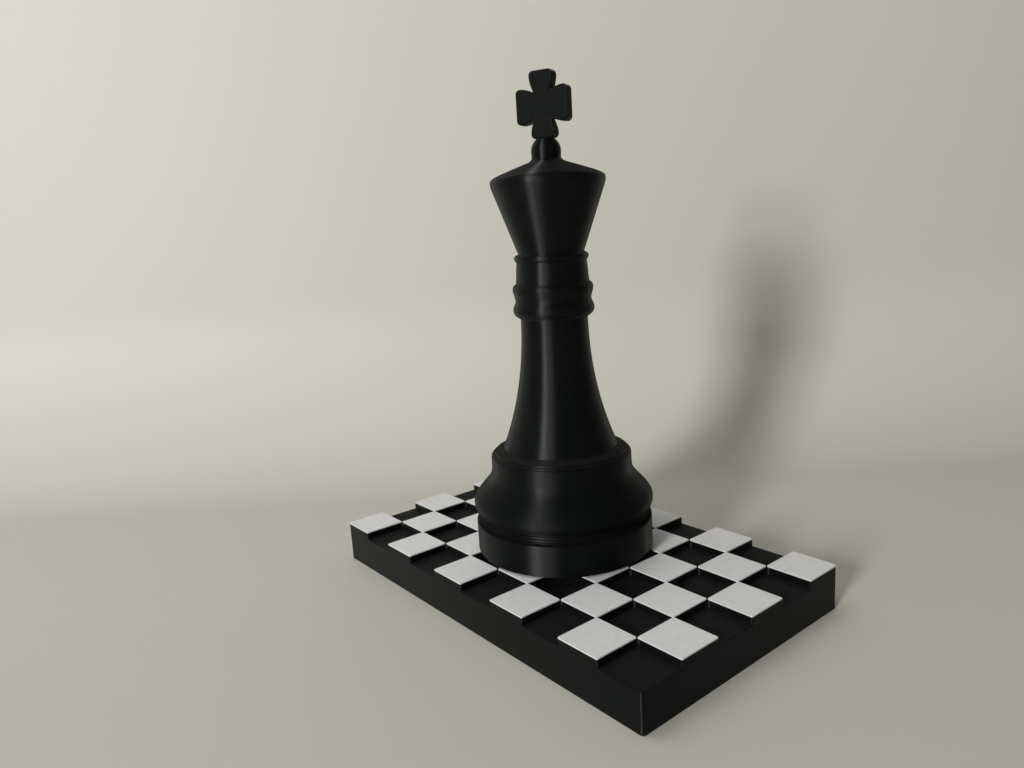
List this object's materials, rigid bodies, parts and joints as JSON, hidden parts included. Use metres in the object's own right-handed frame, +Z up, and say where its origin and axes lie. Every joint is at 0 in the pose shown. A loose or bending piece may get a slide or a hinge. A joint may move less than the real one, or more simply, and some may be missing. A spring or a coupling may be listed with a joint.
{
  "type": "giant chess king on a chessboard plinth",
  "caption": "Giant turned chess king with a flared crown and cross, standing over a peg on a rectangular plinth of raised white and sunk black squares.",
  "frame": {"origin": "centre of the plinth's underside, on the king's turning axis", "axes": "+Z up along the king's axis, +X along the plinth's ten-square long side, +Y along its six-square short side"},
  "size_m": [0.25, 0.15, 0.2828],
  "materials": {
    "black_print": "satin black printed plastic with fine level layer lines",
    "white_print": "matte white printed plastic with fine infill lines",
    "steel": "turned zinc-plated steel",
    "brass": "turned brass",
    "felt": "black felt",
    "rubber": "matte black rubber"
  },
  "bodies": {
    "board": {"board_body": "black_print", "white_square_a1": "white_print", "white_square_a3": "white_print", "white_square_a5": "white_print", "white_square_b2": "white_print", "white_square_b4": "white_print", "white_square_b6": "white_print", "white_square_c1": "white_print", "white_square_c3": "white_print", "white_square_c5": "white_print", "white_square_d2": "white_print", "white_square_d4": "white_print", "white_square_d6": "white_print", "white_square_e1": "white_print", "white_square_e3": "white_print", "white_square_e5": "white_print", "white_square_f2": "white_print", "white_square_f4": "white_print", "white_square_f6": "white_print", "white_square_g1": "white_print", "white_square_g3": "white_print", "white_square_g5": "white_print", "white_square_h2": "white_print", "white_square_h4": "white_print", "white_square_h6": "white_print", "white_square_i1": "white_print", "white_square_i3": "white_print", "white_square_i5": "white_print", "white_square_j2": "white_print", "white_square_j4": "white_print", "white_square_j6": "white_print"},
    "peg": {"board_peg": "steel"},
    "king_base": {"felt_pad": "felt", "base_drum": "black_print", "pivot_bush": "brass", "ballast_ring_lower": "steel", "ballast_ring_upper": "steel", "ballast_cover": "black_print", "cover_screw_1": "steel", "cover_screw_2": "steel", "cover_screw_3": "steel", "cover_screw_4": "steel"},
    "seal": {"seal_ring": "rubber"},
    "king_upper": {"bell": "black_print", "stem": "black_print", "collar": "black_print", "crown": "black_print", "cross": "black_print", "cross_pin": "steel", "tie_rod": "steel", "crown_insert": "brass", "clamp_washer": "steel", "clamp_nut": "steel"}
  },
  "joints": [
    {"name": "king_turn", "type": "hinge", "parent": "board", "child": "peg", "pos_m": [0, 0, 0.02], "axis": [0, 0, 1], "continuous": true},
    {"name": "king_lift", "type": "slide", "parent": "peg", "child": "king_base", "axis": [0, 0, 1], "range_m": [0, 0.06]},
    {"name": "base_unscrew", "type": "hinge", "parent": "king_base", "child": "seal", "pos_m": [0, 0, 0.05], "axis": [0, 0, 1], "range_deg": [0, 540]},
    {"name": "body_rise", "type": "slide", "parent": "seal", "child": "king_upper", "axis": [0, 0, 1], "range_m": [0, 0.0025]}
  ],
  "couplings": [
    {"joint": "body_rise", "follows": "base_unscrew", "m_per_rad": 0.0002642}
  ]
}
